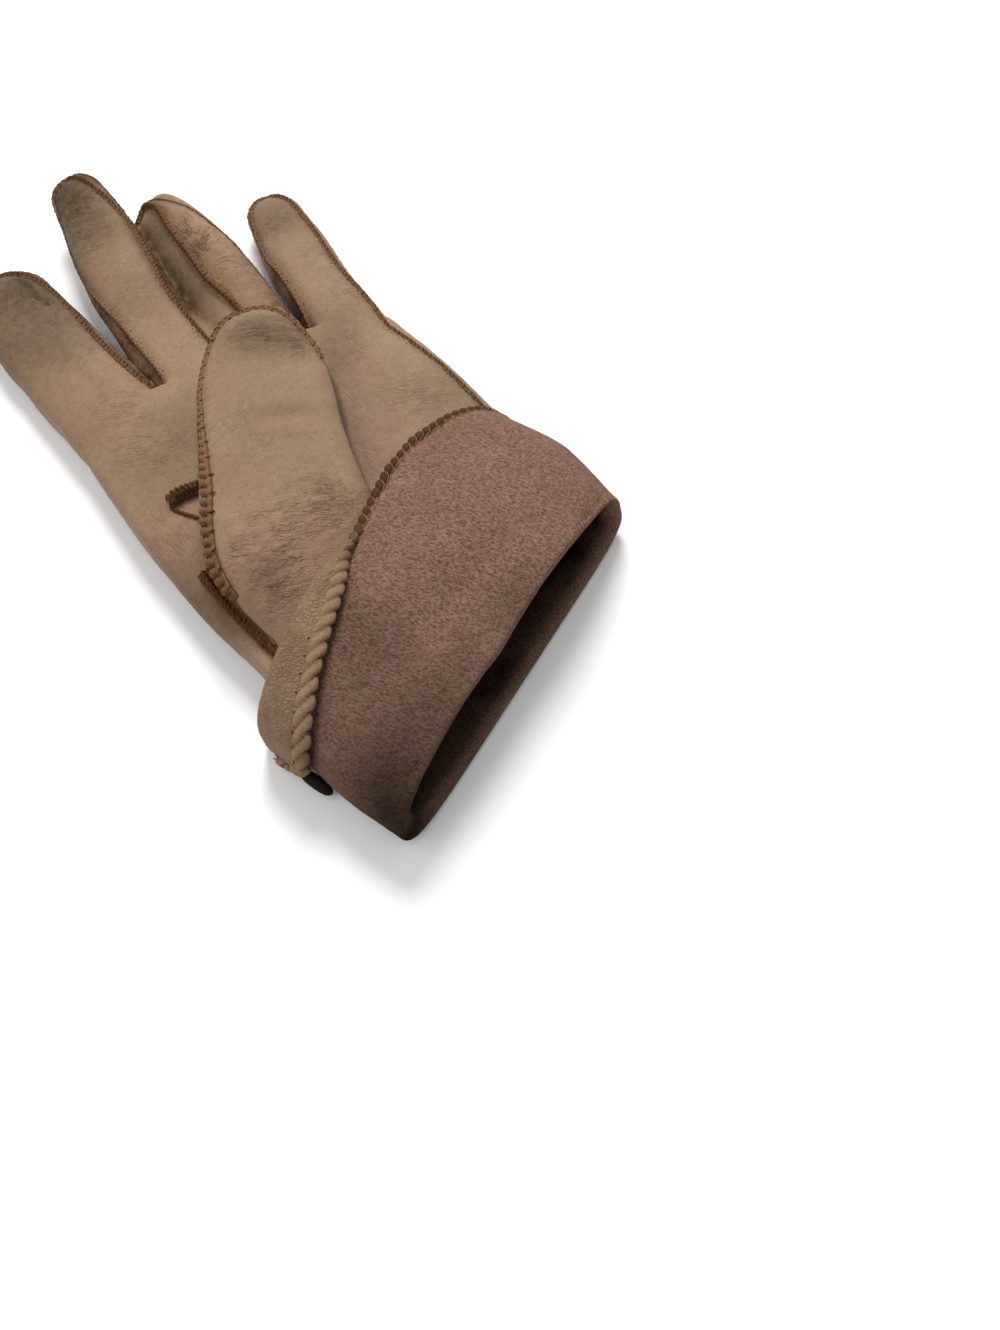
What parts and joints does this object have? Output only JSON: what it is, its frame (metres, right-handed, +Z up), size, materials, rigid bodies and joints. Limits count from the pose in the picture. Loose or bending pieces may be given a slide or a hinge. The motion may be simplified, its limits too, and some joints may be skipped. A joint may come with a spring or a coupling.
{
  "type": "leather glove",
  "caption": "Short kidskin glove for the left hand, lying palm up with the thumb folded over the palm and the cuff turned back.",
  "frame": {"origin": "on the table, under the middle of the glove", "axes": "+Y towards the fingertips, +X towards the little finger, +Z up out of the palm"},
  "size_m": [0.1074, 0.217, 0.0274],
  "materials": {
    "kid_leather": "soft, matt",
    "fork_leather": "soft, matt",
    "suede": "suede, short nap",
    "thread": "waxed thread"
  },
  "bodies": {
    "root": {"trank": "kid_leather", "cuff": "suede", "index_finger": "kid_leather", "middle_finger": "kid_leather", "ring_finger": "kid_leather", "little_finger": "kid_leather", "thumb": "kid_leather", "quirk": "fork_leather", "fork_index_middle": "fork_leather", "fork_middle_ring": "fork_leather", "fork_ring_little": "fork_leather"}
  },
  "joints": []
}
